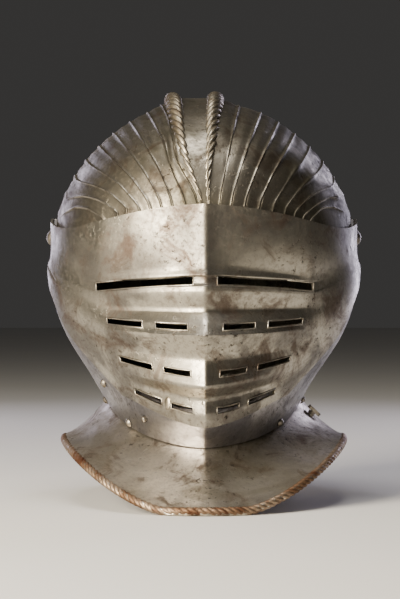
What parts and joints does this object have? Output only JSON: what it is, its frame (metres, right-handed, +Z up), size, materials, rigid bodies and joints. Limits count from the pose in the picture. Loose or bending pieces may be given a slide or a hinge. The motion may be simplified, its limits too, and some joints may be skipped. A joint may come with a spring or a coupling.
{
  "type": "close helmet",
  "caption": "Fluted close helmet with roped twin combs, a pivoting bellows visor with eye slits, a pivoting bevor and flared collar plates.",
  "frame": {"origin": "bottom centre of the helmet, on the ground that its collar edges stand on", "axes": "+Z up, the face looks towards -Y, +X to the wearer's left"},
  "size_m": [0.2196, 0.2773, 0.2834],
  "materials": {
    "skull_steel": "aged, hammered and polished steel",
    "visor_steel": "aged polished steel with rubbed brown patches",
    "bevor_steel": "aged polished steel",
    "collar_steel": "aged steel, rust-brown along the roped edge",
    "fitting_steel": "worn steel",
    "dark_iron": "dark forged iron"
  },
  "bodies": {
    "skull": {"skull": "skull_steel", "rear_collar": "collar_steel", "left_pivot_bolt": "fitting_steel", "right_pivot_bolt": "fitting_steel", "left_pivot_nut": "dark_iron", "right_pivot_nut": "dark_iron", "rear_collar_rivets": "fitting_steel", "pin_strap": "dark_iron", "strap_rivets": "fitting_steel"},
    "bevor": {"bevor": "bevor_steel", "front_collar": "collar_steel", "front_collar_rivets": "fitting_steel", "catch_rivet": "fitting_steel"},
    "visor": {"visor": "visor_steel"},
    "catch": {"catch_spring": "dark_iron", "catch_stud": "fitting_steel"},
    "turning_pin": {"turning_pin": "fitting_steel"}
  },
  "joints": [
    {"name": "bevor_lift", "type": "hinge", "parent": "skull", "child": "bevor", "pos_m": [0, -0.005, 0.181], "axis": [-1, 0, 0], "range_deg": [0, 50]},
    {"name": "visor_lift", "type": "hinge", "parent": "bevor", "child": "visor", "pos_m": [0, -0.005, 0.181], "axis": [-1, 0, 0], "range_deg": [0, 50]},
    {"name": "catch_press", "type": "hinge", "parent": "bevor", "child": "catch", "pos_m": [-0.06832, -0.03981, 0.08109], "axis": [-0.0262, -0.622, 0.7826], "range_deg": [0, 2.2], "stiffness_Nm_per_rad": 10},
    {"name": "pin_turn", "type": "hinge", "parent": "skull", "child": "turning_pin", "pos_m": [0.07363, -0.00518, 0.05705], "axis": [0.6848, -0.0383, 0.7278], "range_deg": [0, 90]}
  ]
}
